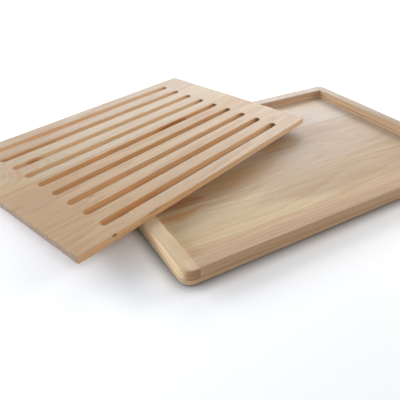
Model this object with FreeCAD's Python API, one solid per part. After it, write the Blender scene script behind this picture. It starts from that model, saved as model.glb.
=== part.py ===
import FreeCAD, Part
import os

from FreeCAD import Vector

# Bread board: a shallow tray that catches the crumbs, and a slotted grid to cut on.
# The tray is a panel of edge-glued staves with four rails glued on top of it.
# The grid is a thinner panel of edge-glued staves, with slots cut along the grain.
# It drops into the tray, level with the rails, and is drawn here as it lies when it
# has been lifted out and laid askew across the tray's back left corner.
#
# Millimetres. The origin is the middle of the tray's underside, +X runs along the
# tray's length, +Y from the front rail to the back rail, and +Z up.

# Tray
tray_length = 475.0
tray_depth = 320.0
base_thickness = 8.0
rim_width = 18.0
ledge_width = 4.5          # the step inside the rails that carries the grid
crumb_space = 3.0          # free height between the base and the ledge
corner_radius = 14.0
rim_edge_round = 2.0       # outer top edge
foot_edge_round = 3.0      # outer bottom edge

# Grid
grid_thickness = 9.0
fit_clearance = 1.0        # between the grid's edge and the rails, all round
slot_count = 9
slot_width = 10.0
slot_end_margin = 48.5     # solid wood left beyond each end of the slots

# Where the lifted grid lies: its middle, from the tray's left end and back edge
grid_from_left = 78.7
grid_from_back = 50.7
grid_turn = 18.8           # degrees, counter-clockwise seen from above

# Edges that are broken by sanding
arris = 0.5

# Glue joints between the staves, from the middle of each panel towards the back
base_joints = [-121.0, -48.0, 9.0, 55.0, 110.0]
grid_joints = [-90.0, -38.0, 11.0, 88.0]

# What follows from the sizes above
rail_height = crumb_space + grid_thickness
tray_height = base_thickness + rail_height
ledge_height = base_thickness + crumb_space
recess_length = tray_length - 2 * rim_width
recess_depth = tray_depth - 2 * rim_width
crumb_floor_depth = recess_depth - 2 * ledge_width
grid_length = recess_length - 2 * fit_clearance
grid_depth = recess_depth - 2 * fit_clearance
bar_width = (grid_depth - slot_count * slot_width) / (slot_count + 1)
slot_pitch = bar_width + slot_width
slot_length = grid_length - 2 * slot_end_margin


def box_between(low, high):
    """A box from its lowest corner to its highest one."""
    size = [b - a for a, b in zip(low, high)]
    return Part.makeBox(*size, Vector(*low))


def centred_box(length, depth, bottom, top):
    """A box whose middle stands over the origin."""
    low = (-length / 2, -depth / 2, bottom)
    high = (length / 2, depth / 2, top)
    return box_between(low, high)


def edges_at(shape, height):
    """The edges of a shape that lie flat at one height."""
    found = []
    for edge in shape.Edges:
        span = edge.BoundBox
        if abs(span.ZMin - height) < 1e-6 and abs(span.ZMax - height) < 1e-6:
            found.append(edge)
    return found


def upright_edges(shape):
    """The edges of a shape that stand along Z."""
    return [e for e in shape.Edges if e.BoundBox.ZLength > 1e-6]


def tray_blank():
    """The tray's outer form: round corners, and its outer edges eased top and bottom."""
    blank = centred_box(tray_length, tray_depth, 0, tray_height)
    blank = blank.makeFillet(corner_radius, upright_edges(blank))
    blank = blank.makeFillet(rim_edge_round, edges_at(blank, tray_height))
    return blank.makeFillet(foot_edge_round, edges_at(blank, 0))


def rectangle(length, depth, height):
    """A flat rectangle about the Z axis, as a closed wire."""
    x, y = length / 2, depth / 2
    corners = [Vector(-x, -y, height), Vector(x, -y, height), Vector(x, y, height), Vector(-x, y, height)]
    return Part.makePolygon(corners + corners[:1])


def recess_cutter():
    """What is cut out between the rails above the ledge, with its top edge sanded off."""
    well = centred_box(recess_length, recess_depth, ledge_height, tray_height)
    low = rectangle(recess_length, recess_depth, tray_height - arris)
    high = rectangle(recess_length + 4 * arris, recess_depth + 4 * arris, tray_height + arris)
    return well.fuse(Part.makeLoft([low, high], True, True))


def split_in_staves(panel, name, joints):
    """Cuts a panel along X at its glue joints. The staves are numbered from the front."""
    span = panel.BoundBox
    inside = [y for y in joints if span.YMin < y < span.YMax]
    edges = [span.YMin, *inside, span.YMax]
    staves = {}
    for number, (front, back) in enumerate(zip(edges, edges[1:]), 1):
        strip = box_between((span.XMin, front, span.ZMin), (span.XMax, back, span.ZMax))
        staves[f"{name}_{number}"] = panel.common(strip)
    return staves


def side_rail(blank, recess, side):
    """The left (-1) or right (+1) rail. It runs the tray's full depth, and its ledge stops
    against the ledges of the front and back rails."""
    outer = side * tray_length / 2
    inner = side * recess_length / 2
    ledge = inner - side * ledge_width
    x_low, x_high = sorted((outer, inner))
    rail = box_between((x_low, -tray_depth / 2, base_thickness), (x_high, tray_depth / 2, tray_height))
    rail = rail.common(blank).cut(recess)
    x_low, x_high = sorted((inner, ledge))
    step = box_between(
        (x_low, -crumb_floor_depth / 2, base_thickness),
        (x_high, crumb_floor_depth / 2, ledge_height),
    )
    return rail.fuse(step).removeSplitter()


def cross_rail(blank, recess, side):
    """The front (-1) or back (+1) rail, fitted between the side rails."""
    outer = side * tray_depth / 2
    ledge = side * crumb_floor_depth / 2
    y_low, y_high = sorted((outer, ledge))
    rail = box_between(
        (-recess_length / 2, y_low, base_thickness),
        (recess_length / 2, y_high, tray_height),
    )
    return rail.common(blank).cut(recess)


def slot_cutter(number):
    """One slot through the grid, counted from the front, with half-round ends."""
    y = -grid_depth / 2 + bar_width + slot_width / 2 + number * slot_pitch
    half_run = (slot_length - slot_width) / 2
    radius = slot_width / 2
    left = Vector(-half_run, y, 0)
    right = Vector(half_run, y, 0)
    across = Vector(0, radius, 0)
    along = Vector(radius, 0, 0)
    outline = Part.Wire([
        Part.LineSegment(left - across, right - across).toShape(),
        Part.Arc(right - across, right + along, right + across).toShape(),
        Part.LineSegment(right + across, left + across).toShape(),
        Part.Arc(left + across, left - along, left - across).toShape(),
    ])
    return Part.Face(outline).extrude(Vector(0, 0, grid_thickness))


def grid_panel():
    """The slotted panel in its own place, underside at Z 0, with every edge sanded off."""
    panel = centred_box(grid_length, grid_depth, 0, grid_thickness)
    for number in range(slot_count):
        panel = panel.cut(slot_cutter(number))
    return panel.makeChamfer(arris, edges_at(panel, 0) + edges_at(panel, grid_thickness))


def lay_on_tray(shape):
    """Turns a piece of the grid and lays it on the rails, over the back left corner."""
    laid = shape.copy()
    laid.rotate(Vector(0, 0, 0), Vector(0, 0, 1), grid_turn)
    laid.translate(Vector(grid_from_left - tray_length / 2, tray_depth / 2 - grid_from_back, tray_height))
    return laid


def tray_pieces():
    """Every piece of the tray, by name."""
    blank = tray_blank()
    recess = recess_cutter()
    base = blank.common(centred_box(tray_length, tray_depth, 0, base_thickness))
    pieces = split_in_staves(base, "base_stave", base_joints)
    pieces["left_rail"] = side_rail(blank, recess, -1)
    pieces["right_rail"] = side_rail(blank, recess, 1)
    pieces["front_rail"] = cross_rail(blank, recess, -1)
    pieces["back_rail"] = cross_rail(blank, recess, 1)
    return pieces


def grid_pieces():
    """Every piece of the grid, by name, where it lies on the tray."""
    staves = split_in_staves(grid_panel(), "grid_stave", grid_joints)
    return {name: lay_on_tray(stave) for name, stave in staves.items()}


def main():
    """Writes one STEP file for each piece."""
    os.makedirs("parts", exist_ok=True)
    for name, shape in {**tray_pieces(), **grid_pieces()}.items():
        shape.exportStep(f"parts/{name}.step")


main()
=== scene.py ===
"""A wooden bread board: a slotted grid laid askew over its tray.

Every stave and rail is modelled by the cuts that a joiner would make, and gets a wood
material of its own, so that the glued joints show as steps in colour and grain.
Lengths are in metres for shapes and in millimetres for the grain of the wood.
"""

import logging
import math
from dataclasses import dataclass
from enum import Enum
from functools import partial
from typing import Callable, Optional

import bpy
from mathutils import Matrix, Vector


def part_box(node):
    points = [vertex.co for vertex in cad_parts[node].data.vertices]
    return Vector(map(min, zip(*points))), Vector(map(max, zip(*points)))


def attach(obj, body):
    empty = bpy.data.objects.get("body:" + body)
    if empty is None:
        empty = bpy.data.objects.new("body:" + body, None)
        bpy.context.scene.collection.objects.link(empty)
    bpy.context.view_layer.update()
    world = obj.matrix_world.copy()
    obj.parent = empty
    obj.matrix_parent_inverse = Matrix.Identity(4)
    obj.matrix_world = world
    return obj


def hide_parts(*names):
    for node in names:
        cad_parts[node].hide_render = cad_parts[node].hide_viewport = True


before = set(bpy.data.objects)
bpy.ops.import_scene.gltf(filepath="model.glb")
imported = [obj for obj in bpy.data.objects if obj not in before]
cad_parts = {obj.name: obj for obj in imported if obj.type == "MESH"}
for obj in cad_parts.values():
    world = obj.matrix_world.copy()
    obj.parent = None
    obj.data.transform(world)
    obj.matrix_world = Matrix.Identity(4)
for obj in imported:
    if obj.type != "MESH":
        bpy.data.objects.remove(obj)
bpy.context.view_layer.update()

log = logging.getLogger("bread_board")

MM = 0.001
TRAY_BODY = "tray"
GRID_BODY = "grid"
HAIR = 1e-5  # how far apart two places may be and still count as one

Socket = bpy.types.NodeSocket


class Side(Enum):
    """Which end of an axis something lies at, such as left or right, or front or back."""

    LOW = -1
    HIGH = 1


class Lie(Enum):
    """How the grain of a piece lies on the board, in degrees from +X."""

    ALONG_TRAY = 0.0
    ACROSS_TRAY = 90.0
    ALONG_GRID = 18.8


def span(*nodes: str) -> tuple[Vector, Vector]:
    """Finds the box round some solids of the model.

    Args:
        nodes: The names of the solids.

    Returns:
        The lowest and the highest corner, in metres.
    """
    boxes = [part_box(node) for node in nodes]
    low = Vector([min(box[0][axis] for box in boxes) for axis in range(3)])
    high = Vector([max(box[1][axis] for box in boxes) for axis in range(3)])
    return low, high


# Wood


def linear(hex_colour: str) -> tuple[float, float, float, float]:
    """Turns an sRGB colour into the linear one that a shader takes.

    Args:
        hex_colour: Six hex digits, such as "d8c0a0".

    Returns:
        Red, green, blue and an alpha of 1.
    """
    channels = [int(hex_colour[i : i + 2], 16) / 255 for i in (0, 2, 4)]
    lit = [c / 12.92 if c <= 0.04045 else ((c + 0.055) / 1.055) ** 2.4 for c in channels]
    return (*lit, 1.0)


def add_node(
    tree: bpy.types.NodeTree,
    kind: str,
    settings: Optional[dict] = None,
    inputs: Optional[dict] = None,
) -> Socket:
    """Adds a node with its settings and links.

    Args:
        tree: The node tree to add to.
        kind: The shader node's type, such as "Math".
        settings: The node's own attributes, by name.
        inputs: What its sockets get, by name or number: a socket to link, or a value.

    Returns:
        The first socket that the node gives out. The others are on its node.
    """
    node = tree.nodes.new(f"ShaderNode{kind}")
    for name, value in (settings or {}).items():
        setattr(node, name, value)
    for name, value in (inputs or {}).items():
        if isinstance(value, Socket):
            tree.links.new(value, node.inputs[name])
        else:
            node.inputs[name].default_value = value
    return next((socket for socket in node.outputs if socket.enabled), None)


@dataclass(frozen=True)
class Wood:
    """Bare beech, sanded and left unpolished: pale, pinkish to straw, and without gloss.

    Attributes:
        slot: The record's material slot. It is not used.
        streak: What the broad streaks tint the wood with.
        late: What the thin line at the end of each year's ring tints it with.
        ring_mm: The width of a year's ring.
        ring_strength: How much of the ring lines' tint shows, from 0 to 1.
    """

    slot: str
    streak: str
    late: str
    ring_mm: float = 4.2
    ring_strength: float = 0.36


@dataclass(frozen=True)
class Spots:
    """Uneven spots in the wood, drawn out along the grain.

    Attributes:
        size_mm: How far apart they lie along, across and through the panel.
        detail: How much finer spots they hold.
        start: How strong the noise is where they begin to show.
        full: How strong it is where they show fully.
        offset: Keeps them unlike the timber's other spots.
        strength: How much of their tint shows, from 0 to 1.
    """

    size_mm: tuple[float, float, float]
    detail: float
    start: float
    full: float
    offset: float
    strength: float = 1.0


@dataclass(frozen=True)
class Mark:
    """A place where the wood's colour differs: a knot, a streak, a fleck or painted light.

    Attributes:
        at: Its middle, along and across the panel, in millimetres.
        half_size: Half its length and half its width, in millimetres.
        tint: What it tints the wood with.
        strength: How much of its tint shows, from 0 to 1.
        ragged: How uneven its edge is, from 0 to 1.
        soft: How much of it is a fading edge, from 0 to 1.
        height: The height of its middle and half its thickness, in millimetres.
    """

    at: tuple[float, float]
    half_size: tuple[float, float]
    tint: str
    strength: float = 0.8
    ragged: float = 0.5
    soft: float = 0.7
    height: tuple[float, float] = (0.0, 60.0)


@dataclass(frozen=True)
class Swirl:
    """Grain that flows round a knot.

    Attributes:
        at: The knot's middle, along and across the panel, in millimetres.
        half_size: Half the length and half the width of the bent grain, in millimetres.
        rings: How many rings bulge round it.
    """

    at: tuple[float, float]
    half_size: tuple[float, float]
    rings: float = 4.0


@dataclass(frozen=True)
class SurfaceTints:
    """How a piece's level tops and cut ends are tinted.

    The level tops are tinted a little duller and greyer than the sides: painted light,
    which stands in for the sheen on the tops and the warm light bounced onto the sides.
    The cut ends are darker, because they drink in the light, and their tint also reaches
    partway round rounded corners as painted shade.

    Attributes:
        face: The painted-light tint of the level tops.
        ends: What the cut ends are tinted with.
        top_tint_from: The height from which the level tops are tinted, in millimetres.
    """

    face: str = "d3dbe8"
    ends: str = "b5c0db"
    top_tint_from: float = -1.0


@dataclass(frozen=True)
class Timber:
    """One stick of wood, cut from its own place in a tree.

    Attributes:
        node: The solid that it stands for.
        wood: What kind of wood it is.
        tone: Its own colour.
        heart: Where the tree's middle lay, across and below the panel, in millimetres.
        lean: How that middle runs off along the stick, down and sideways, in degrees.
        seed: Makes its grain unlike its neighbours'.
        marks: Its knots, streaks and flecks, and patches of painted light.
        swirls: Where its grain bends.
        glued: The sides across the panel where it is glued, in millimetres.
        surface_tints: How its level tops, with painted light, and its cut ends are tinted.
    """

    node: str
    wood: Wood
    tone: str
    heart: tuple[float, float]
    lean: tuple[float, float] = (1.7, -1.1)
    seed: float = 0.0
    marks: tuple[Mark, ...] = ()
    swirls: tuple[Swirl, ...] = ()
    glued: tuple[float, ...] = ()
    surface_tints: SurfaceTints = SurfaceTints()


# Straw and pinkish streaks, as long as the stave, and the noise that bends the rings.
STREAKS = Spots((300.0, 16.0, 16.0), 3.0, 0.30, 0.70, 9.0, 0.65)
BENDS = Spots((230.0, 24.0, 24.0), 2.0, 0.20, 0.80, 1.0)
# Beech fibres are finer than a pixel, so they are drawn about a millimetre wide.
FIBRES = Spots((34.0, 1.1, 1.1), 4.0, 0.38, 0.72, 3.0)
# The dark pores and rays are short flecks, half a millimetre wide.
PORES = Spots((7.0, 0.5, 0.5), 1.0, 0.60, 0.72, 5.0)

# The height of a seam that lies below the piece, and so doesn't show, in millimetres.
NO_SEAM = -1.0

# What more than one node is set to.
TINTING = {"data_type": "RGBA", "blend_type": "MULTIPLY"}
SMOOTH = {"interpolation_type": "SMOOTHSTEP"}
PLACED = {"vector_type": "TEXTURE"}
TIMES = {"operation": "MULTIPLY"}
TIMES_PLUS = {"operation": "MULTIPLY_ADD"}
LENGTH = {"operation": "LENGTH"}
ABSOLUTE = {"operation": "ABSOLUTE"}
NEAR = {"operation": "COMPARE"}


class WoodMaterial:
    """Draws one timber's grain as a solid pattern, so that it runs on round every edge."""

    BEND_MM = 9.0
    FIBRE_TINT = "f4f2f0"
    PORE_TINT = "f1eeea"
    GLUE_TINT = "e4e1de"
    GLUE_LINE_MM = 0.3
    # The cut ends inside the slots are tinted browner than the outer ones, as painted shade
    # with the warm light that bounces in the slots. They lie this far from the grid's middle,
    # give or take the second length.
    SLOT_END_SHADE = "fbdbb5"
    SLOT_END_MM = (167.0, 6.0)
    # How squarely a surface looks along the grain where it begins to count as a cut end,
    # and where it counts fully. It begins early, so that the darker tint of the cut ends
    # also reaches partway round the tray's rounded corners, as painted shade. The other
    # pair is the same for looking up or down, for the painted light on the level tops.
    END_TURN = (0.42, 0.85)
    LEVEL_TURN = (0.30, 0.90)
    # A year runs from 0 to 1. The wood darkens through autumn and pales through winter,
    # which is short, so that a ring ends sharply.
    AUTUMN = (0.25, 0.88)
    WINTER = (1.0, 0.92)
    # The palest year shows over a third as much as the darkest.
    PALEST_YEAR = -0.6
    # A mark's edge is uneven in spots of these shares of its size, and a bit more.
    EDGE_SHARE = (0.5, 0.35)
    EDGE_MORE_MM = (2.0, 0.6)
    EDGE_DEPTH_MM = 8.0
    EDGE_OFFSET = 13.0
    # Timbers whose seeds differ by one lie this far apart in the noise.
    SEED_STEP = 7.3
    # Sanded fibres break the sheen up, so it is wide, and weaker than on a smooth solid.
    ROUGHNESS = 0.42
    IOR = 1.5
    SHEEN_LEVEL = 0.25
    RELIEF = 0.00006

    def __init__(self, timber: Timber, lie: Lie, centre: Vector, seam: float) -> None:
        """Starts an empty material for one timber.

        Args:
            timber: What is drawn.
            lie: How its grain lies on the board.
            centre: The middle of its panel, in metres.
            seam: The height of the glued seam on its outside, in millimetres from centre.
        """
        self.timber = timber
        self.lie = lie
        self.centre = centre
        self.seam = seam
        self.material = bpy.data.materials.new(f"beech_{timber.node}")
        self.material.use_nodes = True
        tree = self.material.node_tree
        tree.nodes.clear()
        self.add = partial(add_node, tree)

    def build(self) -> bpy.types.Material:
        """Draws the whole material and returns it.

        Returns:
            The finished material.
        """
        place = self._place()
        parts = self.add("SeparateXYZ", inputs={0: place}).node
        rings = self._rings(place)
        fibres = self._spots(place, FIBRES)
        stains_and_light = [
            (self._spots(place, STREAKS), self.timber.wood.streak),
            (rings, self.timber.wood.late),
            (fibres, self.FIBRE_TINT),
            (self._spots(place, PORES), self.PORE_TINT),
        ]
        stains_and_light += [(self._mark(place, mark), mark.tint) for mark in self.timber.marks]
        turn = math.radians(self.lie.value)
        ends = self._facing((math.cos(turn), math.sin(turn), 0.0), self.END_TURN)
        # Painted light: the level tops get a duller, greyer tint than the sides.
        sanded = self._tinted_tops(parts.outputs["Z"])
        stains_and_light += [(ends, self.timber.surface_tints.ends), (sanded, self.timber.surface_tints.face)]
        if self.lie is Lie.ALONG_GRID:
            # Painted shade: the cut ends inside the slots are tinted browner.
            stains_and_light.append((self._slot_ends(parts.outputs["X"], ends), self.SLOT_END_SHADE))
        glue = self._glue_lines(parts.outputs["Y"], parts.outputs["Z"])
        stains_and_light += [(line, self.GLUE_TINT) for line in glue]
        colour = linear(self.timber.tone)
        for where, tint in stains_and_light:
            colour = self.add("Mix", TINTING, {"Factor": where, "A": colour, "B": linear(tint)})
        self._surface(colour, fibres, rings)
        return self.material

    def _place(self) -> Socket:
        """Gives the place on the panel, in millimetres, with X along the grain.

        Returns:
            A vector from the middle of the panel.
        """
        coordinates = self.add("TexCoord").node
        return self.add(
            "Mapping",
            PLACED,
            {
                "Vector": coordinates.outputs["Object"],
                "Location": self.centre,
                "Rotation": (0.0, 0.0, math.radians(self.lie.value)),
                "Scale": (MM, MM, MM),
            },
        )

    def _spots(self, place: Socket, spots: Spots) -> Socket:
        """Draws spots along the grain and returns how much of them each place has.

        Args:
            place: The place on the panel.
            spots: What they are like.

        Returns:
            How much of them each place has, from 0 to their strength.
        """
        drawn_out = self.add(
            "VectorMath", {"operation": "DIVIDE"}, {0: place, 1: spots.size_mm}
        )
        noise = self.add(
            "TexNoise",
            {"noise_dimensions": "4D"},
            {
                "Vector": drawn_out,
                "W": self.timber.seed * self.SEED_STEP + spots.offset,
                "Scale": 1.0,
                "Detail": spots.detail,
            },
        )
        return self.add(
            "MapRange",
            SMOOTH,
            {
                "Value": noise,
                "From Min": spots.start,
                "From Max": spots.full,
                "To Max": spots.strength,
            },
        )

    def _distance(
        self, place: Socket, at: tuple, half_size: tuple, height: tuple = (0.0, 60.0)
    ) -> Socket:
        """Gives 0 at the middle of an oval in the panel and 1 at its edge.

        Args:
            place: The place on the panel.
            at: The oval's middle, along and across the panel, in millimetres.
            half_size: Half its length and half its width.
            height: The height of its middle and half its thickness.

        Returns:
            How far out each place lies, and more than 1 outside the oval.
        """
        from_middle = self.add(
            "Mapping",
            PLACED,
            {"Vector": place, "Location": (*at, height[0]), "Scale": (*half_size, height[1])},
        )
        return self.add("VectorMath", LENGTH, {0: from_middle})

    def _rings(self, place: Socket) -> Socket:
        """Draws the growth rings and returns how strong each place's ring line is.

        Args:
            place: The place on the panel.

        Returns:
            How strong the ring line is at each place, up to the wood's ring strength.
        """
        timber, wood = self.timber, self.timber.wood
        down, sideways = (math.radians(angle) for angle in timber.lean)
        in_trunk = self.add(
            "Mapping",
            PLACED,
            {
                "Vector": place,
                "Location": (0.0, *timber.heart),
                "Rotation": (0.0, down, sideways),
            },
        )
        arm = self.add("VectorMath", TIMES, {0: in_trunk, 1: (0.0, 1.0, 1.0)})
        radius = self.add("VectorMath", LENGTH, {0: arm})
        radius = self.add(
            "Math", TIMES_PLUS, {0: self._spots(place, BENDS), 1: self.BEND_MM, 2: radius}
        )
        for swirl in timber.swirls:
            bulge = self.add(
                "MapRange",
                SMOOTH,
                {
                    "Value": self._distance(place, swirl.at, swirl.half_size),
                    "From Min": 1.0,
                    "From Max": 0.0,
                    "To Max": swirl.rings * wood.ring_mm,
                },
            )
            radius = self.add("Math", {"operation": "ADD"}, {0: radius, 1: bulge})
        age = self.add("Math", {"operation": "DIVIDE"}, {0: radius, 1: wood.ring_mm})
        season = self.add("Math", {"operation": "FRACT"}, {0: age})
        year = self.add("Math", {"operation": "FLOOR"}, {0: age})
        autumn, winter = (
            self.add("MapRange", SMOOTH, {"Value": season, "From Min": start, "From Max": full})
            for start, full in (self.AUTUMN, self.WINTER)
        )
        chance = self.add("TexWhiteNoise", {"noise_dimensions": "1D"}, {"W": year})
        vigour = self.add(
            "MapRange",
            inputs={
                "Value": chance, "From Min": self.PALEST_YEAR, "To Max": wood.ring_strength
            },
        )
        line = self.add("Math", TIMES, {0: autumn, 1: winter})
        return self.add("Math", TIMES, {0: line, 1: vigour})

    def _mark(self, place: Socket, mark: Mark) -> Socket:
        """Finds one mark, and returns how much of it each place has.

        Args:
            place: The place on the panel.
            mark: The knot, streak or fleck.

        Returns:
            How much of its tint each place has, from 0 to its strength.
        """
        length, width = (
            size * share + more
            for size, share, more in zip(mark.half_size, self.EDGE_SHARE, self.EDGE_MORE_MM)
        )
        edge_size = (length, width, self.EDGE_DEPTH_MM)
        edge_noise = self._spots(place, Spots(edge_size, 3.0, 0.0, 1.0, self.EDGE_OFFSET))
        uneven = self.add(
            "Math",
            TIMES_PLUS,
            {
                0: edge_noise,
                1: mark.ragged * 2.0,
                2: self._distance(place, mark.at, mark.half_size, mark.height),
            },
        )
        edge = 1.0 + mark.ragged
        return self.add(
            "MapRange",
            SMOOTH,
            {
                "Value": uneven,
                "From Min": edge,
                "From Max": edge - mark.soft,
                "To Max": mark.strength,
            },
        )

    def _facing(
        self, way: tuple[float, float, float], squarely: tuple[float, float]
    ) -> Socket:
        """Finds the surfaces that look along a line, such as the cut ends.

        Args:
            way: The line, one unit long.
            squarely: How squarely they look along it where they begin to count, and where
                they count fully.

        Returns:
            A value from 0 to 1.
        """
        geometry = self.add("NewGeometry").node
        facing = self.add(
            "VectorMath", {"operation": "DOT_PRODUCT"}, {0: geometry.outputs["Normal"], 1: way}
        )
        either_way = self.add("Math", ABSOLUTE, {0: facing})
        return self.add(
            "MapRange",
            SMOOTH,
            {"Value": either_way, "From Min": squarely[0], "From Max": squarely[1]},
        )

    def _tinted_tops(self, height: Socket) -> Socket:
        """Finds the level tops that get the painted-light tint.

        Args:
            height: The height of each place, in millimetres.

        Returns:
            A value from 0 to 1.
        """
        level = self._facing((0.0, 0.0, 1.0), self.LEVEL_TURN)
        reached = self.add(
            "Math",
            {"operation": "GREATER_THAN"},
            {0: height, 1: self.timber.surface_tints.top_tint_from},
        )
        return self.add("Math", TIMES, {0: level, 1: reached})

    def _slot_ends(self, along: Socket, ends: Socket) -> Socket:
        """Finds which of the cut ends lie inside the slots.

        Args:
            along: Each place's distance along the grain, in millimetres.
            ends: What the cut ends are.

        Returns:
            A value from 0 to 1.
        """
        outward = self.add("Math", ABSOLUTE, {0: along})
        middle, reach = self.SLOT_END_MM
        inside = self.add("Math", NEAR, {0: outward, 1: middle, 2: reach})
        return self.add("Math", TIMES, {0: inside, 1: ends})

    def _glue_lines(self, across: Socket, height: Socket) -> list[Socket]:
        """Finds the hairlines of glue at the joints.

        Args:
            across: Each place's distance across the panel, in millimetres.
            height: Its height, in millimetres.

        Returns:
            For each joint and for the seam, 1 on its line and 0 elsewhere.
        """
        sides = [(across, side) for side in self.timber.glued]
        sides.append((height, self.seam))
        near = self.GLUE_LINE_MM
        return [
            self.add("Math", NEAR, {0: part, 1: side, 2: near})
            for part, side in sides
        ]

    def _surface(self, colour: Socket, fibres: Socket, rings: Socket) -> None:
        """Gives the wood its sheen and its slight relief, and closes the material.

        Args:
            colour: The wood's colour, with all its tints, painted light and shade among them.
            fibres: What stands out a little.
            rings: What lies a little deeper.
        """
        relief = self.add("Math", {"operation": "SUBTRACT"}, {0: fibres, 1: rings})
        normal = self.add(
            "Bump", inputs={"Strength": 1.0, "Distance": self.RELIEF, "Height": relief}
        )
        shader = self.add(
            "BsdfPrincipled",
            inputs={
                "Base Color": colour,
                "Roughness": self.ROUGHNESS,
                "IOR": self.IOR,
                "Specular IOR Level": self.SHEEN_LEVEL,
                "Normal": normal,
            },
        )
        self.add("OutputMaterial", inputs={"Surface": shader})


# Cutting and joining


def deselect_all() -> None:
    """Leaves nothing selected."""
    bpy.ops.object.select_all(action="DESELECT")


def make_active(piece: bpy.types.Object) -> None:
    """Selects one piece alone and makes it the active one.

    Args:
        piece: The piece.
    """
    deselect_all()
    piece.select_set(True)
    bpy.context.view_layer.objects.active = piece


def add_block(name: str, low: Vector, high: Vector) -> bpy.types.Object:
    """Adds a block between two corners.

    Args:
        name: The block's name.
        low: Its lowest corner.
        high: Its highest corner.

    Returns:
        The block, with its place in its mesh.
    """
    deselect_all()
    bpy.ops.mesh.primitive_cube_add(size=1.0, location=(low + high) / 2, scale=high - low)
    block = bpy.context.object
    block.name = name
    bpy.ops.object.transform_apply(location=True, rotation=True, scale=True)
    return block


def copy_of(piece: bpy.types.Object, name: str) -> bpy.types.Object:
    """Copies a piece with a mesh of its own, and names the copy.

    Args:
        piece: What is copied.
        name: The copy's name.

    Returns:
        The copy.
    """
    make_active(piece)
    bpy.ops.object.duplicate(linked=False)
    copy = bpy.context.object
    copy.name = name
    return copy


def choose_edges(piece: bpy.types.Object, test: Callable[[Vector, Vector], bool]) -> None:
    """Selects the edges whose two ends pass a test, and nothing else.

    Args:
        piece: The piece whose edges are looked at.
        test: Told an edge's two ends, says whether it is chosen.
    """
    mesh = piece.data
    mesh.polygons.foreach_set("select", [False] * len(mesh.polygons))
    mesh.vertices.foreach_set("select", [False] * len(mesh.vertices))
    for edge in mesh.edges:
        ends = [mesh.vertices[index].co for index in edge.vertices]
        edge.select = test(*ends)
    for edge in mesh.edges:
        if edge.select:
            for index in edge.vertices:
                mesh.vertices[index].select = True


def choose_faces(piece: bpy.types.Object, test: Callable[[Vector, Vector], bool]) -> None:
    """Selects the faces whose middle and normal pass a test, and nothing else.

    Args:
        piece: The piece whose faces are looked at.
        test: Told a face's middle and normal, says whether it is chosen.
    """
    mesh = piece.data
    mesh.edges.foreach_set("select", [False] * len(mesh.edges))
    mesh.vertices.foreach_set("select", [False] * len(mesh.vertices))
    for face in mesh.polygons:
        face.select = test(face.center, face.normal)


def round_edges(
    piece: bpy.types.Object,
    test: Callable[[Vector, Vector], bool],
    radius: float,
    segments: int,
) -> None:
    """Rounds the chosen edges of a piece.

    Args:
        piece: The piece to work on.
        test: Told an edge's two ends, says whether it is rounded.
        radius: The rounding's radius.
        segments: How many flats it has.
    """
    make_active(piece)
    bpy.context.tool_settings.mesh_select_mode = (False, True, False)
    choose_edges(piece, test)
    bpy.ops.object.mode_set(mode="EDIT")
    bpy.ops.mesh.bevel(offset=radius, segments=segments, profile=0.5, affect="EDGES")
    bpy.ops.object.mode_set(mode="OBJECT")


def cut(
    piece: bpy.types.Object,
    at: Vector,
    normal: Vector,
    keep_back: bool = False,
) -> None:
    """Cuts right through a piece.

    Args:
        piece: The piece to work on.
        at: A point on the cut.
        normal: Square to the cut, towards the side that goes.
        keep_back: Keeps both sides, with only a line round the piece where the cut is.
    """
    make_active(piece)
    bpy.ops.object.mode_set(mode="EDIT")
    bpy.ops.mesh.select_all(action="SELECT")
    bpy.ops.mesh.bisect(
        plane_co=at,
        plane_no=normal,
        use_fill=not keep_back,
        clear_outer=not keep_back,
        clear_inner=False,
        threshold=1e-6,
    )
    bpy.ops.object.mode_set(mode="OBJECT")


def trim(piece: bpy.types.Object, axis: int, low: float, high: float) -> None:
    """Keeps what lies between two places along an axis.

    Args:
        piece: The piece to work on.
        axis: 0, 1 or 2 for X, Y or Z.
        low: Where the kept part starts.
        high: Where it ends.
    """
    reach = [vertex.co[axis] for vertex in piece.data.vertices]
    along = Vector([float(axis == number) for number in range(3)])
    if high < max(reach) - HAIR:
        cut(piece, along * high, along)
    if low > min(reach) + HAIR:
        cut(piece, along * low, -along)


def pull(
    piece: bpy.types.Object, test: Callable[[Vector, Vector], bool], by: Vector
) -> None:
    """Draws the chosen faces out of a piece.

    Args:
        piece: The piece to work on.
        test: Told a face's middle and normal, says whether it is drawn out.
        by: How far and which way.
    """
    make_active(piece)
    bpy.context.tool_settings.mesh_select_mode = (False, False, True)
    choose_faces(piece, test)
    bpy.ops.object.mode_set(mode="EDIT")
    bpy.ops.mesh.extrude_region_move(TRANSFORM_OT_translate={"value": by})
    bpy.ops.object.mode_set(mode="OBJECT")


def finish_mesh(piece: bpy.types.Object) -> None:
    """Closes a piece's mesh and shades its rounded edges smooth and its flats flat.

    Args:
        piece: The piece to work on.
    """
    make_active(piece)
    bpy.ops.object.mode_set(mode="EDIT")
    bpy.ops.mesh.select_all(action="SELECT")
    bpy.ops.mesh.remove_doubles(threshold=1e-6)
    bpy.ops.mesh.normals_make_consistent(inside=False)
    bpy.ops.object.mode_set(mode="OBJECT")
    bpy.ops.object.shade_smooth_by_angle(angle=math.radians(40))
    modifier = piece.modifiers.new("even_normals", "WEIGHTED_NORMAL")
    modifier.keep_sharp = True
    bpy.ops.object.modifier_apply(modifier=modifier.name)


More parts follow.
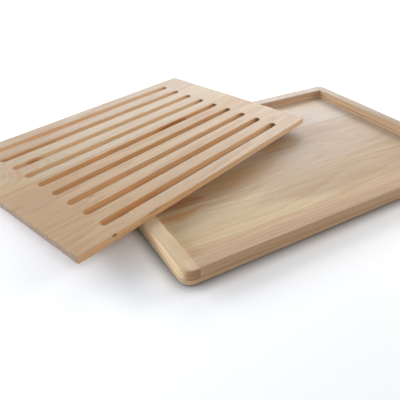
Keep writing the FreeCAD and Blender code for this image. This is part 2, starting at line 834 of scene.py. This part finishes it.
def stand_for(
    piece: bpy.types.Object, timber: Timber, body: str, material: bpy.types.Material
) -> None:
    """Puts a finished piece in the place of its solid.

    Args:
        piece: The finished piece.
        timber: The stick of wood that it is.
        body: What it moves with.
        material: Its wood.
    """
    finish_mesh(piece)
    piece.data.materials.clear()
    piece.data.materials.append(material)
    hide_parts(timber.node)
    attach(piece, body)
    low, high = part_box(timber.node)
    corners = [vertex.co for vertex in piece.data.vertices]
    error = max(
        max(abs(min(c[axis] for c in corners) - low[axis]) for axis in range(3)),
        max(abs(max(c[axis] for c in corners) - high[axis]) for axis in range(3)),
    )
    faces = len(piece.data.polygons)
    log.info("%s: %d faces, %.2f mm off its solid", piece.name, faces, error / MM)


@dataclass
class Tray:
    """The tray: a base of glued staves with four rails glued round its edge.

    Attributes:
        base: The staves, from front to back.
        left: The left rail.
        right: The right rail.
        front: The front rail.
        back: The back rail.
        corner_radius: The upright corners' rounding.
        rim_round: The rounding of the outer top edge.
        foot_round: The rounding of the outer bottom edge.
        arris: The rounding of the inner top edge.
        ledge: The width of the step that the grid drops onto.
        ledge_depth: How far below the top of the rails it lies.
        seam_off: How far from the top of the base the seam's glue is drawn.
    """

    base: tuple[Timber, ...]
    left: Timber
    right: Timber
    front: Timber
    back: Timber
    corner_radius: float = 14 * MM
    rim_round: float = 2 * MM
    foot_round: float = 3 * MM
    arris: float = 0.6 * MM
    ledge: float = 4.5 * MM
    ledge_depth: float = 9 * MM
    seam_off: float = 0.45 * MM

    def __post_init__(self) -> None:
        """Reads the tray's main sizes off the model."""
        names = [timber.node for timber in self.base]
        self.low, base_high = span(*names)
        self.base_top = base_high.z
        self.high = span(self.left.node, self.right.node)[1]
        self.left_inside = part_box(self.front.node)[0].x
        self.right_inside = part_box(self.front.node)[1].x
        self.front_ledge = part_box(self.front.node)[1].y
        self.back_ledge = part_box(self.back.node)[0].y
        self.ledge_top = self.high.z - self.ledge_depth

    def build(self) -> None:
        """Makes every piece of the tray."""
        blank = self._blank()
        for timber in self.base:
            self._base_stave(blank, timber)
        self._side_rail(blank, self.left, Side.LOW)
        self._side_rail(blank, self.right, Side.HIGH)
        self._cross_rail(blank, self.front, Side.LOW)
        self._cross_rail(blank, self.back, Side.HIGH)
        bpy.data.objects.remove(blank)

    def _blank(self) -> bpy.types.Object:
        """Shapes the tray's outside as one block, with all its outer edges rounded.

        Returns:
            The block, which every piece of the tray is cut from.
        """
        blank = add_block("blank", self.low, self.high)
        top, bottom = self.high.z, self.low.z
        round_edges(blank, lambda a, b: abs(a.z - b.z) > HAIR, self.corner_radius, 16)
        round_edges(blank, lambda a, b: min(a.z, b.z) > top - HAIR, self.rim_round, 5)
        round_edges(blank, lambda a, b: max(a.z, b.z) < bottom + HAIR, self.foot_round, 6)
        return blank

    def _wood(self, timber: Timber, lie: Lie, side: Side) -> bpy.types.Material:
        """Gives a timber its material, with the seam just below or above the base's top.

        Args:
            timber: The stick of wood.
            lie: How its grain lies.
            side: Which side of the base's top its seam is drawn on.

        Returns:
            The material.
        """
        centre = Vector(((self.low.x + self.high.x) / 2, (self.low.y + self.high.y) / 2, 0.0))
        seam = (self.base_top + side.value * self.seam_off) / MM
        return WoodMaterial(timber, lie, centre, seam).build()

    def _base_stave(self, blank: bpy.types.Object, timber: Timber) -> None:
        """Cuts one stave of the base out of the blank.

        Args:
            blank: The tray's outside.
            timber: The stave's wood.
        """
        low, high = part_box(timber.node)
        stave = copy_of(blank, f"{timber.node}_wood")
        trim(stave, 2, self.low.z, self.base_top)
        trim(stave, 1, low.y, high.y)
        stand_for(stave, timber, TRAY_BODY, self._wood(timber, Lie.ALONG_TRAY, Side.LOW))

    def _side_rail(self, blank: bpy.types.Object, timber: Timber, side: Side) -> None:
        """Cuts a side rail out of the blank, and draws its ledge out of its inner face.

        Args:
            blank: The tray's outside.
            timber: The rail's wood.
            side: Left or right.
        """
        inside = self.left_inside if side is Side.LOW else self.right_inside
        rail = copy_of(blank, f"{timber.node}_wood")
        trim(rail, 2, self.base_top, self.high.z)
        outward = Vector((side.value, 0.0, 0.0))
        cut(rail, Vector((inside, 0.0, 0.0)), -outward)
        recess = self.back_ledge + self.ledge
        for y in (-recess, self.front_ledge, self.back_ledge, recess):
            cut(rail, Vector((0.0, y, 0.0)), Vector((0.0, 1.0, 0.0)), keep_back=True)
        self._draw_ledge(rail, -outward, inside, self.back_ledge, recess)
        stand_for(rail, timber, TRAY_BODY, self._wood(timber, Lie.ACROSS_TRAY, Side.HIGH))

    def _cross_rail(self, blank: bpy.types.Object, timber: Timber, side: Side) -> None:
        """Cuts the front or back rail out of the blank, and draws out its ledge.

        Args:
            blank: The tray's outside.
            timber: The rail's wood.
            side: Front or back.
        """
        foot = self.front_ledge if side is Side.LOW else self.back_ledge
        inside = foot + side.value * self.ledge
        rail = copy_of(blank, f"{timber.node}_wood")
        trim(rail, 2, self.base_top, self.high.z)
        trim(rail, 0, self.left_inside, self.right_inside)
        outward = Vector((0.0, side.value, 0.0))
        cut(rail, Vector((0.0, inside, 0.0)), -outward)
        self._draw_ledge(rail, -outward, inside, self.right_inside, self.right_inside)
        stand_for(rail, timber, TRAY_BODY, self._wood(timber, Lie.ALONG_TRAY, Side.HIGH))

    def _draw_ledge(
        self,
        rail: bpy.types.Object,
        inward: Vector,
        inside: float,
        ledge_end: float,
        recess_end: float,
    ) -> None:
        """Draws the ledge out of a rail's inner face, and rounds its inner top edge.

        Args:
            rail: The rail.
            inward: Towards the middle of the tray, square to the rail.
            inside: Where its inner face lies on that axis.
            ledge_end: How far the ledge runs each way from the rail's middle.
            recess_end: How far the inner top edge does.
        """
        across = 0 if inward.x else 1
        along = 1 - across
        cut(rail, Vector((0.0, 0.0, self.ledge_top)), Vector((0.0, 0.0, 1.0)), keep_back=True)

        def under_ledge(middle: Vector, normal: Vector) -> bool:
            """Says whether a face is the strip that the ledge grows from."""
            on_face = abs(middle[across] - inside) < HAIR and abs(normal[across]) > 0.9
            return on_face and abs(middle[along]) < ledge_end and middle.z < self.ledge_top

        def recess_edge(a: Vector, b: Vector) -> bool:
            """Says whether an edge is the rail's inner top edge.

            Args:
                a: One end.
                b: The other end.

            Returns:
                True if it is.
            """
            in_line = max(abs(a[across] - inside), abs(b[across] - inside)) < HAIR
            at_top = min(a.z, b.z) > self.high.z - HAIR
            return in_line and at_top and max(abs(a[along]), abs(b[along])) < recess_end + HAIR

        pull(rail, under_ledge, inward * self.ledge)
        round_edges(rail, recess_edge, self.arris, 3)


@dataclass
class Grid:
    """The slotted panel that is cut on, of glued staves, as it lies on the tray.

    Attributes:
        staves: The staves, from front to back.
        joints: The places of the glue joints, from the panel's middle.
        length: The panel's size along the slots.
        depth: Its size across them.
        slot_count: How many slots it has.
        slot_width: The width of a slot.
        slot_length: The length of a slot, with its round ends.
        arris: The rounding of every edge.
    """

    staves: tuple[Timber, ...]
    joints: tuple[float, ...]
    length: float = 437 * MM
    depth: float = 282 * MM
    slot_count: int = 9
    slot_width: float = 10 * MM
    slot_length: float = 340 * MM
    arris: float = 0.6 * MM

    def __post_init__(self) -> None:
        """Reads the panel's thickness, height and place off the model."""
        low, high = span(*[timber.node for timber in self.staves])
        self.bottom = low.z
        self.thickness = high.z - low.z
        self.centre = Vector(((low.x + high.x) / 2, (low.y + high.y) / 2, low.z))
        self.turn = math.radians(Lie.ALONG_GRID.value)

    def build(self) -> None:
        """Makes every stave of the grid."""
        panel = self._panel()
        half = self.depth / 2
        edges = (-half, *self.joints, half)
        for timber, low, high in zip(self.staves, edges, edges[1:]):
            stave = copy_of(panel, f"{timber.node}_wood")
            trim(stave, 1, low, high)
            self._lay(stave)
            material = WoodMaterial(timber, Lie.ALONG_GRID, self.centre, NO_SEAM).build()
            stand_for(stave, timber, GRID_BODY, material)
        bpy.data.objects.remove(panel)

    def _slot_cutter(self, number: int) -> bpy.types.Object:
        """Makes the shape of one slot, with half-round ends, to be cut away.

        Args:
            number: Which slot, from 0 at the front.

        Returns:
            The shape, which stands out above and below the panel.
        """
        pitch = (self.depth - self.slot_count * self.slot_width) / (self.slot_count + 1)
        pitch += self.slot_width
        y = (number - (self.slot_count - 1) / 2) * pitch
        reach = Vector((self.slot_length / 2, self.slot_width / 2, self.thickness))
        middle = Vector((0.0, y, self.thickness / 2))
        cutter = add_block(f"slot_{number}", middle - reach, middle + reach)
        round_edges(cutter, lambda a, b: abs(a.z - b.z) > HAIR, self.slot_width / 2, 14)
        make_active(cutter)
        bpy.ops.object.mode_set(mode="EDIT")
        bpy.ops.mesh.select_all(action="SELECT")
        bpy.ops.mesh.remove_doubles(threshold=HAIR)
        bpy.ops.object.mode_set(mode="OBJECT")
        return cutter

    def _panel(self) -> bpy.types.Object:
        """Makes the whole slotted panel about the origin, with its edges sanded round.

        Returns:
            The panel, with its underside at a height of 0.
        """
        reach = Vector((self.length / 2, self.depth / 2, 0.0))
        panel = add_block("panel", -reach, reach + Vector((0.0, 0.0, self.thickness)))
        for number in range(self.slot_count):
            cutter = self._slot_cutter(number)
            make_active(panel)
            modifier = panel.modifiers.new("slot", "BOOLEAN")
            modifier.operation = "DIFFERENCE"
            modifier.object = cutter
            bpy.ops.object.modifier_apply(modifier=modifier.name)
            bpy.data.objects.remove(cutter)
        modifier = panel.modifiers.new("arris", "BEVEL")
        modifier.limit_method = "ANGLE"
        modifier.angle_limit = math.radians(50)
        modifier.width = self.arris
        modifier.segments = 3
        bpy.ops.object.modifier_apply(modifier=modifier.name)
        return panel

    def _lay(self, stave: bpy.types.Object) -> None:
        """Turns a stave with its panel and lays it on the tray.

        Args:
            stave: The stave, cut from the panel about the origin.
        """
        make_active(stave)
        stave.location = self.centre
        stave.rotation_euler = (0.0, 0.0, self.turn)
        bpy.ops.object.transform_apply(location=True, rotation=True, scale=True)


# The woods. Golden beech is yellower in its streaks, rosy beech redder, and pale beech
# is the outer wood, with hardly any.
TRAY_GOLDEN = Wood("tray_wood_golden", "f2e4d0", "e2c8aa")
TRAY_ROSY = Wood("tray_wood_rosy", "f4e4d8", "e2c6b0")
TRAY_PALE = Wood("tray_wood_pale", "f6ecdf", "e8d2bc")
RAIL_GOLDEN = Wood("rail_wood_golden", "f0e0cc", "dfc4a4")
RAIL_ROSY = Wood("rail_wood_rosy", "f2e0d4", "dcbea4")
RAIL_PALE = Wood("rail_wood_pale", "f6ecdc", "e6ceb2")
GRID_GOLDEN = Wood("grid_wood_golden", "f3e6d6", "e2c8ae")
GRID_ROSY = Wood("grid_wood_rosy", "f3e3d8", "e0c4b0")
GRID_PALE = Wood("grid_wood_pale", "f6ece0", "e6cfba")

# What a mark tints the wood with. A tint only takes light away, so it is paler than the mark.
HEART_PINK = "e6dde0"
HONEY = "ffecc8"
TAN = "edded6"
REDDISH = "efc3a0"
DARK_RED = "cfae88"
BROWN = "cabcaa"
FLECK = "a08e7c"
BARK = "a5805c"

# The tops of the base and of the left and front rails get a weaker painted-light tint
# than those of the grid and of the right and back rails, whose inner walls so look
# lighter and warmer against their tops. The ledge inside the rails lies below this
# height, and its top gets no tint. The side rails' darker, warmer cut-end tint reaches
# round the tray's rounded corners as painted shade.
RAIL_TOP_TINT_MM = 16.0
BASE_TINTS = SurfaceTints("e5ebf4", "f2f8ff")
LEFT_TINTS = SurfaceTints("e5ebf4", "cebdb3", RAIL_TOP_TINT_MM)
FRONT_TINTS = SurfaceTints("e5ebf4", top_tint_from=RAIL_TOP_TINT_MM)
RIGHT_TINTS = SurfaceTints(ends="cebdb3", top_tint_from=RAIL_TOP_TINT_MM)
BACK_TINTS = SurfaceTints(top_tint_from=RAIL_TOP_TINT_MM)

TRAY = Tray(
    base=(
        Timber(
            "base_stave_1", TRAY_ROSY, "e1bf95", (-150.0, -30.0), seed=1.0,
            glued=(-121.0,), surface_tints=BASE_TINTS,
        ),
        Timber(
            "base_stave_2", TRAY_GOLDEN, "ecd3a8", (-88.0, -46.0), seed=2.0,
            glued=(-121.0, -48.0), surface_tints=BASE_TINTS,
            marks=(
                Mark((160.0, -50.0), (300.0, 90.0), HEART_PINK, 1.0, 0.3, 0.35),
                Mark((-110.0, -58.0), (62.0, 14.0), TAN, 0.9, 0.5, 0.8),
                Mark((-190.0, -59.0), (42.0, 11.0), REDDISH, 0.8, 0.5, 0.8),
            ),
        ),
        Timber(
            "base_stave_3", TRAY_PALE, "d5bb9e", (-20.0, -90.0), seed=3.0,
            glued=(-48.0, 9.0), surface_tints=BASE_TINTS,
            marks=(
                # Painted light: the floor in the grid's shadow is tinted warmer, for the light
                # bounced off the grid's underside.
                Mark((-90.0, -25.0), (130.0, 50.0), HONEY, 1.0, 0.2, 0.9),
                Mark((-180.0, -38.0), (50.0, 12.0), REDDISH, 0.8, 0.5, 0.6),
                Mark((160.0, -12.0), (16.0, 3.0), BROWN, 0.35, 0.6, 0.9),
            ),
        ),
        Timber(
            "base_stave_4", TRAY_ROSY, "d2b79b", (30.0, -80.0), seed=4.0,
            glued=(9.0, 55.0), surface_tints=BASE_TINTS,
            # Painted light: the floor in the grid's shadow is tinted warmer, for the light
            # bounced off the grid's underside.
            marks=(Mark((15.0, 22.0), (50.0, 32.0), HONEY, 0.8, 0.2, 0.9),),
        ),
        Timber(
            "base_stave_5", TRAY_PALE, "d9c6b3", (80.0, -70.0), seed=5.0,
            glued=(55.0, 110.0), surface_tints=BASE_TINTS,
        ),
        Timber(
            "base_stave_6", TRAY_GOLDEN, "e4ccb2", (140.0, -60.0), seed=6.0,
            glued=(110.0,), surface_tints=BASE_TINTS,
        ),
    ),
    left=Timber(
        "left_rail", RAIL_PALE, "eccda3", (228.0, -60.0), seed=7.0, surface_tints=LEFT_TINTS
    ),
    right=Timber(
        "right_rail", RAIL_GOLDEN, "cfb494", (-228.0, -50.0), seed=8.0, surface_tints=RIGHT_TINTS
    ),
    front=Timber(
        "front_rail", RAIL_ROSY, "ddbb93", (-180.0, -10.0), seed=9.0, surface_tints=FRONT_TINTS
    ),
    back=Timber(
        "back_rail", RAIL_PALE, "d8bca2", (160.0, -50.0), seed=10.0, surface_tints=BACK_TINTS
    ),
)

GRID = Grid(
    staves=(
        Timber(
            "grid_stave_1", GRID_GOLDEN, "e9c69f", (-110.0, -40.0), seed=11.0, glued=(-90.0,),
            marks=(
                Mark((-180.0, -130.0), (330.0, 90.0), HONEY, 0.5, 0.1, 1.0),
                Mark((-171.0, -141.0), (5.0, 2.0), BARK, 0.95, 0.8, 0.6, (8.3, 2.6)),
                Mark((-115.0, -141.0), (11.0, 3.0), BARK, 0.8, 0.8, 0.6, (8.0, 1.4)),
                Mark((-196.0, -118.0), (26.0, 1.5), BROWN, 0.4, 0.5, 0.9),
                Mark((-130.0, -112.0), (110.0, 7.0), DARK_RED, 0.5, 0.3, 0.9, (4.0, 4.6)),
            ),
        ),
        Timber(
            "grid_stave_2", GRID_GOLDEN, "e5c096", (-60.0, -50.0), seed=12.0,
            glued=(-90.0, -38.0),
            marks=(
                Mark((-180.0, -70.0), (330.0, 90.0), HONEY, 0.3, 0.1, 1.0),
                Mark((-142.0, -66.0), (9.0, 1.4), FLECK, 0.8, 0.4, 0.7),
                Mark((-17.0, -68.0), (2.4, 1.4), FLECK, 0.7, 0.4, 0.8),
                Mark((-196.0, -41.0), (26.0, 1.5), BROWN, 0.3, 0.5, 0.9),
            ),
        ),
        Timber(
            "grid_stave_3", GRID_ROSY, "e1bc90", (-10.0, -60.0), seed=33.0, glued=(-38.0, 11.0),
            marks=(
                Mark((-60.0, -10.0), (290.0, 90.0), HONEY, 0.25, 0.1, 1.0),
                Mark((115.0, -16.0), (70.0, 18.0), TAN, 0.7, 0.4, 0.9),
                Mark((66.0, 5.0), (46.0, 4.0), DARK_RED, 0.9, 0.4, 0.6, (3.0, 7.0)),
            ),
        ),
        Timber(
            "grid_stave_4", GRID_PALE, "e7cba6", (60.0, -40.0), seed=14.0, glued=(11.0, 88.0),
            marks=(
                Mark((-200.0, 18.0), (62.0, 24.0), HONEY, 0.6, 0.4, 0.8),
                Mark((-138.0, 63.0), (21.0, 5.5), DARK_RED, 1.0, 0.25, 0.9, (3.0, 10.0)),
                Mark((-170.0, 50.0), (34.0, 40.0), REDDISH, 0.25, 0.5, 0.9),
                Mark((85.0, 43.0), (3.0, 1.6), FLECK, 0.5, 0.4, 0.8),
            ),
            swirls=(Swirl((-150.0, 54.0), (66.0, 44.0), 5.0),),
        ),
        Timber(
            "grid_stave_5", GRID_GOLDEN, "e3c6a7", (120.0, -50.0), seed=15.0, glued=(88.0,),
            marks=(
                Mark((-180.0, 120.0), (330.0, 90.0), HONEY, 0.3, 0.1, 1.0),
                Mark((-130.0, 93.0), (110.0, 7.0), DARK_RED, 0.6, 0.3, 0.9, (4.0, 4.6)),
            ),
        ),
    ),
    joints=(-90 * MM, -38 * MM, 11 * MM, 88 * MM),
)


# Room, light and camera


@dataclass(frozen=True)
class Softbox:
    """A flat lamp with a soft face.

    Attributes:
        name: The lamp's name.
        at: Its middle.
        aim: The point that it faces.
        width: Its face's width.
        height: Its face's height.
        watts: Its power.
        colour: The colour of its light.
    """

    name: str
    at: tuple[float, float, float]
    aim: tuple[float, float, float]
    width: float
    height: float
    watts: float
    colour: str = "ffffff"

    def build(self) -> None:
        """Hangs the lamp."""
        data = bpy.data.lights.new(self.name, "AREA")
        data.shape = "RECTANGLE"
        data.size = self.width
        data.size_y = self.height
        data.energy = self.watts
        data.color = linear(self.colour)[:3]
        lamp = bpy.data.objects.new(self.name, data)
        bpy.context.scene.collection.objects.link(lamp)
        lamp.location = self.at
        facing = Vector(self.aim) - Vector(self.at)
        lamp.rotation_euler = facing.to_track_quat("-Z", "Y").to_euler()


@dataclass(frozen=True)
class Studio:
    """A pale table in a pale room, lit mostly from behind and from both ends.

    Attributes:
        lamps: The lamps.
        dome: How strongly the room itself glows.
        white: The colour of the room, and of the paper on the table where it is open.
        floor_reach: How far the paper runs each way.
        floor_drop: How far it lies below the board, so that the two don't meet.
        floor_tone: Its own colour.
        camera_gain: What the camera sees on top of that: linear red, green and blue.
        contact_mm: How close to it the wood darkens the paper.
        contact_depth: How much it does so right beside it, from 0 to 1.
        paper_edge: How far out the paper starts to turn plain white, and where it is.
    """

    lamps: tuple[Softbox, ...]
    dome: float = 0.09
    white: str = "ffffff"
    floor_reach: float = 6.0
    floor_drop: float = 0.2 * MM
    floor_tone: str = "f3f3f3"
    camera_gain: tuple[float, float, float] = (0.266, 0.256, 0.242)
    contact_mm: float = 16.0
    contact_depth: float = 0.66
    paper_edge: tuple[float, float] = (0.46, 0.70)

    def build(self) -> None:
        """Lays the floor, sets the room's colour and hangs the lamps."""
        self._floor()
        self._world()
        for lamp in self.lamps:
            lamp.build()

    def _floor(self) -> None:
        """Lays a plain floor that the camera sees as white where nothing shades it."""
        deselect_all()
        bpy.ops.mesh.primitive_plane_add(
            size=2 * self.floor_reach, location=(0.0, 0.0, -self.floor_drop)
        )
        floor = bpy.context.object
        floor.name = "floor"
        material = bpy.data.materials.new("floor_paper")
        material.use_nodes = True
        material.node_tree.nodes.clear()
        add = partial(add_node, material.node_tree)
        tone = linear(self.floor_tone)
        paper = add("BsdfDiffuse", inputs={"Color": tone})
        # What the camera sees is lighter by almost three tenths, so that open paper is
        # white, and darker in the last millimetres beside the wood, where hardly any light
        # gets in. Open paper has an openness of 1, and paper at the foot of a wall one half.
        openness = add("AmbientOcclusion", {"samples": 8}, {"Distance": self.contact_mm * MM})
        dim = add(
            "MapRange",
            inputs={
                "Value": openness.node.outputs["AO"],
                "From Min": 0.5,
                "To Min": 1.0 - self.contact_depth,
            },
        )
        layers = []
        for colour in (tone[:3], self.camera_gain):
            dimmed = add("VectorMath", {"operation": "SCALE"}, {0: colour, "Scale": dim})
            layers.append(add("BsdfDiffuse", inputs={"Color": dimmed}))
        lit = add("AddShader", inputs={0: layers[0], 1: layers[1]})
        # Far from the board the paper is plain white.
        coordinates = add("TexCoord").node
        distance = add("VectorMath", LENGTH, {0: coordinates.outputs["Object"]})
        far = add(
            "MapRange",
            SMOOTH,
            {"Value": distance, "From Min": self.paper_edge[0], "From Max": self.paper_edge[1]},
        )
        white = add("Emission", inputs={"Color": linear(self.white)})
        seen = add("MixShader", inputs={"Fac": far, 1: lit, 2: white})
        path = add("LightPath").node
        mix = add("MixShader", inputs={"Fac": path.outputs["Is Camera Ray"], 1: paper, 2: seen})
        add("OutputMaterial", inputs={"Surface": mix})
        floor.data.materials.append(material)

    def _world(self) -> None:
        """Makes the room white to the eye and to gloss, and a soft glow to the rest."""
        world = bpy.data.worlds.new("room")
        bpy.context.scene.world = world
        world.use_nodes = True
        world.node_tree.nodes.clear()
        add = partial(add_node, world.node_tree)
        path = add("LightPath").node
        seen = path.outputs["Is Camera Ray"]
        for ray in ("Is Glossy Ray", "Is Transmission Ray"):
            seen = add("Math", {"operation": "MAXIMUM"}, {0: seen, 1: path.outputs[ray]})
        strength = add("MapRange", inputs={"Value": seen, "To Min": self.dome, "To Max": 1.0})
        room = add("Background", inputs={"Color": linear(self.white), "Strength": strength})
        add("OutputWorld", inputs={"Surface": room})


@dataclass(frozen=True)
class Camera:
    """The camera, where the photographer stood.

    Attributes:
        at: Its place.
        heading: Degrees to the right of +Y.
        dip: Degrees below level.
        roll: Degrees that its right side is tipped up.
        lens_mm: Its focal length.
        sensor_mm: The width of its sensor.
        near: The nearest that it sees.
    """

    at: tuple[float, float, float] = (-0.38428, -0.43128, 0.32028)
    heading: float = 31.01
    dip: float = 34.58
    roll: float = 0.62
    lens_mm: float = 39.945
    sensor_mm: float = 36.0
    near: float = 0.01

    def build(self) -> None:
        """Stands the camera up and makes it the scene's own."""
        data = bpy.data.cameras.new("camera")
        data.lens = self.lens_mm
        data.sensor_width = self.sensor_mm
        data.clip_start = self.near
        camera = bpy.data.objects.new("camera", data)
        bpy.context.scene.collection.objects.link(camera)
        heading, dip, roll = (math.radians(v) for v in (self.heading, self.dip, self.roll))
        level = math.cos(dip)
        ahead = Vector((math.sin(heading) * level, math.cos(heading) * level, -math.sin(dip)))
        right = Vector((math.cos(heading), -math.sin(heading), 0.0))
        up = right.cross(ahead)
        tipped = right * math.cos(roll) + up * math.sin(roll)
        up = tipped.cross(ahead)
        turn = Matrix((tipped, up, -ahead)).transposed()
        camera.matrix_world = Matrix.Translation(self.at) @ turn.to_4x4()
        bpy.context.scene.camera = camera


# The light from the left is a little cooler than the rest, like a window's.
COOL = "e5efff"

# Low soft lamps stand behind the table and at both its ends. Weaker ones hang in front
# and above.
STUDIO = Studio(
    lamps=(
        Softbox("back_left", (-0.75, 0.81, 0.444), (-0.20, 0.0, 0.0), 0.5, 0.37, 5.15),
        Softbox("back_middle", (0.10, 0.81, 0.444), (-0.03, 0.0, 0.0), 0.4, 0.37, 1.56),
        Softbox("back_right", (0.50, 0.81, 0.444), (0.05, 0.0, 0.0), 0.4, 0.37, 1.81),
        Softbox("back_corner", (0.95, 0.81, 0.444), (0.14, 0.0, 0.0), 0.5, 0.37, 2.26),
        Softbox("back_high", (0.30, 0.90, 1.00), (-0.05, 0.05, 0.0), 1.2, 0.60, 1.61),
        Softbox("left_behind", (-1.15, 0.45, 0.40), (-0.05, 0.05, 0.0), 0.6, 0.45, 6.9, COOL),
        Softbox("left", (-1.25, -0.15, 0.40), (-0.05, 0.05, 0.0), 0.6, 0.45, 3.3, COOL),
        Softbox("right", (1.20, -0.05, 0.40), (-0.05, 0.05, 0.0), 0.5, 0.45, 11.7),
        Softbox("front_right", (0.40, -1.00, 1.00), (-0.05, 0.05, 0.0), 0.8, 0.5, 1.2),
        Softbox("front_left", (-0.40, -1.00, 1.20), (-0.05, 0.05, 0.0), 1.0, 0.6, 3.67),
        Softbox("overhead", (0.0, 0.10, 1.60), (-0.05, 0.05, 0.0), 1.2, 1.2, 0.84),
    ),
)


def main() -> None:
    """Builds the board and the room round it."""
    logging.basicConfig(level=logging.INFO, format="%(message)s")
    bpy.context.scene.view_settings.view_transform = "Standard"
    TRAY.build()
    GRID.build()
    STUDIO.build()
    Camera().build()


if __name__ == "__main__":
    main()
